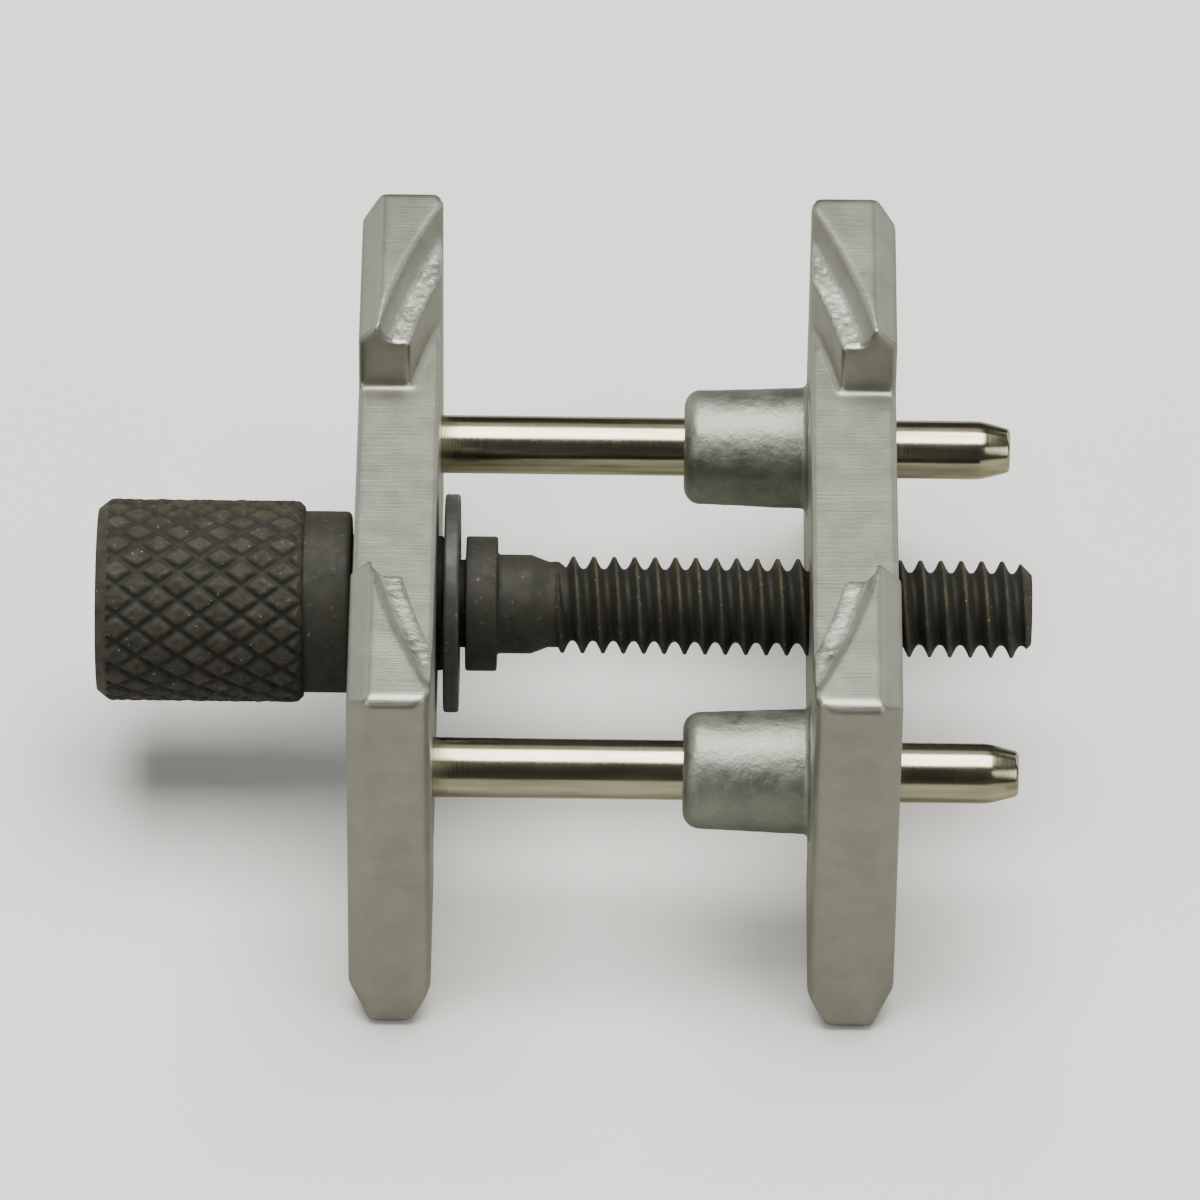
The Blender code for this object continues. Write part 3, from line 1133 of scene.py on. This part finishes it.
@dataclass
class ScrewThread:
    """The right-hand thread, with rounded roots and nearly sharp crests."""

    start_crest_x: float
    tip_x: float
    axis_z: float
    pitch: float
    crest_radius: float = 2.375 * MM
    depth: float = 0.6 * MM
    crest_flat: float = 0.13 * MM
    root_share: float = 0.47
    tip_chamfer: float = 0.65 * MM
    run_out: float = 0.25 * MM
    start_radius: float = 2.05 * MM
    start_slope: float = 0.8
    edge_blend: float = 0.06 * MM
    steps_around: int = 72
    steps_along: int = 560

    def build(self, metals: Metals) -> None:
        """Wrap the thread and hang it on the screw.

        Args:
            metals: The object's materials.
        """
        start_x = self.start_crest_x + self.run_out
        tree = WrappedTree(
            "screw_thread",
            {
                "Length": self.tip_x - start_x,
                "Start X": start_x,
                "Axis Z": self.axis_z,
                "Pitch": self.pitch,
                "Depth": self.depth,
                "Crest radius": self.crest_radius,
            },
            around=self.steps_around,
            along=self.steps_along,
        )
        mesh = tree.build(self.radius_rule, metals.knurled)
        show(finished_object("screw_thread", mesh), "screw", "clamping_screw")

    def radius_rule(
        self, tree: WrappedTree, turn: Socket, distance: Socket
    ) -> tuple[Socket, Socket]:
        """The helix: steep flanks that round out into the root.

        Args:
            tree: The tree that gets the nodes.
            turn: The share of a turn round the axis.
            distance: The distance from the thread's start.

        Returns:
            The radius, and 1 on crests falling to 0 in roots.
        """
        fall = self.fall(tree, turn, distance)
        sunk = tree.add(MATH, {0: fall, 1: tree.given["Depth"]}, operation="MULTIPLY")[0]
        thread = tree.add(MATH, {0: tree.given["Crest radius"], 1: sunk}, operation="SUBTRACT")[0]
        to_tip = tree.add(MATH, {0: tree.given["Length"], 1: distance}, operation="SUBTRACT")[0]
        at_tip = tree.add(
            MATH, {0: to_tip, 1: self.crest_radius - self.tip_chamfer}, operation="ADD"
        )[0]
        at_start = tree.add(
            MATH,
            {0: distance, 1: self.start_slope, 2: self.start_radius},
            operation="MULTIPLY_ADD",
        )[0]
        envelope = tree.add(MATH, {0: at_tip, 1: at_start}, operation="MINIMUM")[0]
        radius = tree.add(
            MATH, {0: thread, 1: envelope, 2: self.edge_blend}, operation="SMOOTH_MIN"
        )[0]
        crest = tree.add(MATH, {0: 1.0, 1: fall}, operation="SUBTRACT")[0]
        return radius, crest

    def fall(self, tree: WrappedTree, turn: Socket, distance: Socket) -> Socket:
        """How far down the flank from crest to root a point lies.

        Args:
            tree: The tree that gets the nodes.
            turn: The share of a turn round the axis.
            distance: The distance from the thread's start.

        Returns:
            0 on a crest's flat, rising to 1 in the root.
        """
        middle = self.run_out - self.crest_flat / 2
        shifted = tree.add(MATH, {0: distance, 1: middle}, operation="ADD")[0]
        turns = tree.add(MATH, {0: shifted, 1: tree.given["Pitch"]}, operation="DIVIDE")[0]
        unwound = tree.add(MATH, {0: turns, 1: turn}, operation="SUBTRACT")[0]
        from_crest = tree.add(MATH, {0: unwound, 1: 0.5}, operation="PINGPONG")[0]
        flat_share = self.crest_flat / self.pitch / 2
        share = tree.add(
            "ShaderNodeMapRange",
            {"Value": from_crest, "From Min": flat_share, "From Max": self.root_share},
        )["Result"]
        quarter = tree.add(MATH, {0: share, 1: math.pi / 2}, operation="MULTIPLY")[0]
        return tree.add(MATH, {0: quarter}, operation="SINE")[0]


@dataclass
class ClampingScrew:
    """Knob, collar, journal, groove, flange, shoulder and thread of the screw."""

    node: str = "clamping_screw"
    knob_length: float = 10.1 * MM
    in_knob: float = 0.5 * MM
    collar_length: float = 2.3 * MM
    collar_radius: float = 4.45 * MM
    journal_length: float = 4.5 * MM
    journal_radius: float = 3.3 * MM
    groove_width: float = 1.1 * MM
    groove_radius: float = 2.15 * MM
    flange_length: float = 1.55 * MM
    shoulder_radius: float = 2.425 * MM
    shoulder_length: float = 1.65 * MM
    taper_length: float = 0.85 * MM
    neck_radius: float = 2.1 * MM
    core_radius: float = 1.7 * MM
    pitch: float = 1.0 * MM
    collar_rounding: float = 0.28 * MM
    corner_rounding: float = 0.1 * MM
    journal_rounding: float = 0.12 * MM
    groove_rounding: float = 0.08 * MM
    shoulder_fillet: float = 0.18 * MM
    taper_rounding: float = 0.4 * MM

    def build(self, metals: Metals) -> None:
        """Make the knob, the turned body and the thread.

        Args:
            metals: The object's materials.
        """
        low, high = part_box(self.node)
        axis_z = (low.z + high.z) / 2
        collar_x = low.x + self.knob_length
        journal_x = collar_x + self.collar_length
        groove_x = journal_x + self.journal_length
        flange_x = groove_x + self.groove_width
        shoulder_x = flange_x + self.flange_length
        taper_x = shoulder_x + self.shoulder_length
        thread_x = taper_x + self.taper_length
        KnurledKnob(low.x, axis_z, self.knob_length).build(metals)
        body = Turning(
            0.0,
            axis_z,
            [
                (collar_x - self.in_knob, self.collar_radius),
                (journal_x, self.collar_radius),
                (journal_x, self.journal_radius),
                (groove_x, self.journal_radius),
                (groove_x, self.groove_radius),
                (flange_x, self.groove_radius),
                (flange_x, self.journal_radius),
                (shoulder_x, self.journal_radius),
                (shoulder_x, self.shoulder_radius),
                (taper_x, self.shoulder_radius),
                (thread_x, self.neck_radius),
                (thread_x + self.pitch / 2, self.neck_radius),
                (thread_x + self.pitch, self.core_radius),
                (thread_x + 2 * self.pitch, self.core_radius),
            ],
            fillets={
                1: self.collar_rounding,
                2: self.corner_rounding,
                3: self.journal_rounding,
                4: self.groove_rounding,
                5: self.groove_rounding,
                6: self.journal_rounding,
                7: self.journal_rounding,
                8: self.shoulder_fillet,
                9: self.taper_rounding,
                10: self.taper_rounding,
            },
        )
        mesh = body.mesh("screw_body")
        mesh.materials.append(metals.turned)
        show(finished_object("screw_body", mesh), "screw", self.node)
        ScrewThread(thread_x, high.x, axis_z, self.pitch).build(metals)


@dataclass
class RetainingClip:
    """The stamped spring clip in the screw's groove, its burred edges tumbled round."""

    node: str = "retaining_clip"
    edge_rounding: float = 0.14 * MM
    rounding_steps: int = 4
    least_turn_degrees: float = 24.0
    sharp_degrees: float = 35.0

    def build(self, metals: Metals) -> None:
        """Round the stamped outline and hang it on the screw.

        Args:
            metals: The object's materials.
        """
        builder = from_cad(self.node)
        weight = builder.edges.layers.float.new("bevel_weight_edge")
        for edge in builder.edges:
            turn = math.degrees(edge.calc_face_angle(0)) if len(edge.link_faces) == 2 else 0
            edge[weight] = 1.0 if turn > self.least_turn_degrees else 0.0
        mesh = mesh_from("retaining_clip_stamped", builder, self.sharp_degrees)
        mesh.materials.clear()
        mesh.materials.append(metals.spring)
        piece = finished_object("retaining_clip_stamped", mesh)
        bevel = piece.modifiers.new("tumbled edges", "BEVEL")
        bevel.limit_method = "WEIGHT"
        bevel.width = self.edge_rounding
        bevel.segments = self.rounding_steps
        bevel.miter_outer = "MITER_ARC"
        even = piece.modifiers.new("flat shading of flats", "WEIGHTED_NORMAL")
        even.keep_sharp = True
        even.weight = 100
        show(applied(piece), "screw", self.node)


# ---- Studio -------------------------------------------------------------------------


@dataclass(frozen=True)
class Softbox:
    """A square area light that faces the object.

    elevation is measured from the camera's side of the floor, so 90 is overhead.
    """

    name: str
    elevation_degrees: float
    azimuth_degrees: float
    distance: float
    size: float
    watts: float
    colour: str = "ffffff"

    def build(self, target: Vector) -> None:
        """Hang the light and point it.

        Args:
            target: What it points at.
        """
        light = bpy.data.lights.new(self.name, "AREA")
        light.shape = "SQUARE"
        light.size = self.size
        light.energy = self.watts
        light.color = linear_colour(self.colour)[:3]
        lamp = bpy.data.objects.new(self.name, light)
        elevation = math.radians(self.elevation_degrees)
        azimuth = math.radians(self.azimuth_degrees)
        level = math.cos(elevation)
        towards = Vector(
            (level * math.sin(azimuth), -level * math.cos(azimuth), math.sin(elevation))
        )
        lamp.location = target + towards * self.distance
        lamp.rotation_euler = towards.to_track_quat("Z", "Y").to_euler()
        bpy.context.scene.collection.objects.link(lamp)


@dataclass
class Studio:
    """A pale floor, soft light from above and the camera."""

    axis_z: float
    elevation_degrees: float = 43.0
    roll_degrees: float = 0.68
    distance: float = 560 * MM
    view_width: float = 58.8 * MM
    aim_x: float = 1.72 * MM
    aim_rise: float = 0.245 * MM
    sensor_mm: float = 36.0
    nearest: float = 10 * MM
    floor_half: float = 2.0
    warm_light: str = "fffdf6"
    room_colour: str = "d8dad6"
    room_strength: float = 0.09

    def build(self) -> None:
        """Set the floor, the lights, the room's glow and the camera."""
        self.floor()
        target = Vector((self.aim_x, 0.0, self.axis_z))
        for softbox in self.softboxes():
            softbox.build(target)
        world = bpy.data.worlds.new("dim room")
        world.use_nodes = True
        glow = {"Color": linear_colour(self.room_colour), "Strength": self.room_strength}
        feed(world.node_tree, world.node_tree.nodes["Background"], glow)
        bpy.context.scene.world = world
        self.camera(target)

    def softboxes(self) -> list[Softbox]:
        """Choose the lights.

        Returns:
            One above, a weak one beyond, and a fill and a low card on either side.
        """
        boxes = [
            Softbox("overhead softbox", 94, 0, 0.6, 0.5, 6.5, self.warm_light),
            Softbox("far fill", 125, 0, 0.9, 0.5, 0.36, self.warm_light),
        ]
        for label, elevation, azimuth, distance, watts in (
            ("front fill", 28, 55, 1.0, 2.0),
            ("card", 14, 130, 0.8, 1.2),
        ):
            for side, sign in (("left", -1), ("right", 1)):
                name = f"{side} {label}"
                boxes.append(Softbox(name, elevation, sign * azimuth, distance, 0.6, watts))
        return boxes

    def floor(self) -> None:
        """Lay the floor under the jaws' feet."""
        builder = bmesh.new()
        bmesh.ops.create_grid(builder, x_segments=1, y_segments=1, size=self.floor_half)
        mesh = bpy.data.meshes.new("floor")
        builder.to_mesh(mesh)
        builder.free()
        mesh.materials.append(FLOOR_PAINT.material())
        finished_object("floor", mesh)

    def camera(self, target: Vector) -> None:
        """Set the camera up and make it the scene's.

        Args:
            target: What it looks at, but for a small rise.
        """
        elevation = math.radians(self.elevation_degrees)
        towards = Vector((0.0, -math.cos(elevation), math.sin(elevation)))
        up = Vector((0.0, math.sin(elevation), math.cos(elevation)))
        lens = bpy.data.cameras.new("camera")
        lens.sensor_width = self.sensor_mm
        lens.lens = self.sensor_mm * self.distance / self.view_width
        lens.clip_start = self.nearest
        camera = bpy.data.objects.new("camera", lens)
        turn = towards.to_track_quat("Z", "Y").to_matrix()
        roll = Matrix.Rotation(math.radians(self.roll_degrees), 3, "Z")
        camera.rotation_euler = (turn @ roll).to_euler()
        camera.location = target + up * self.aim_rise + towards * self.distance
        bpy.context.scene.collection.objects.link(camera)
        bpy.context.scene.camera = camera


def main() -> None:
    """Build the scene in order and report each piece."""
    logging.basicConfig(level=logging.INFO, format="%(name)s: %(message)s")
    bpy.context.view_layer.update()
    metals = Metals(
        milled=MILLED_ALLOY.material(),
        cast=CAST_ALLOY.material(),
        ledge=LEDGE_ALLOY_PAINTED_LIGHT.material(),
        nickel=NICKEL.material(),
        knurled=BLACK_OXIDE.material(),
        turned=BLACK_OXIDE_PLAIN.material(),
        spring=SPRING_STEEL.material(),
    )
    Jaw("fixed_jaw").build(metals)
    Jaw("moving_jaw").build(metals)
    moving_low, moving_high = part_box("moving_jaw")
    for label in ("far", "near"):
        node = f"guide_pin_{label}"
        low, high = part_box(node)
        middle = (low + high) / 2
        BossSkin(f"boss_{label}", middle.y, middle.z, moving_low.x).build(metals)
        GuidePin(node).build(metals)
    ClampingScrew().build(metals)
    RetainingClip().build(metals)
    Studio((moving_low.z + moving_high.z) / 2).build()


if __name__ == "__main__":
    for startup in list(bpy.data.objects):
        bpy.data.objects.remove(startup)
    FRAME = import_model()
    main()
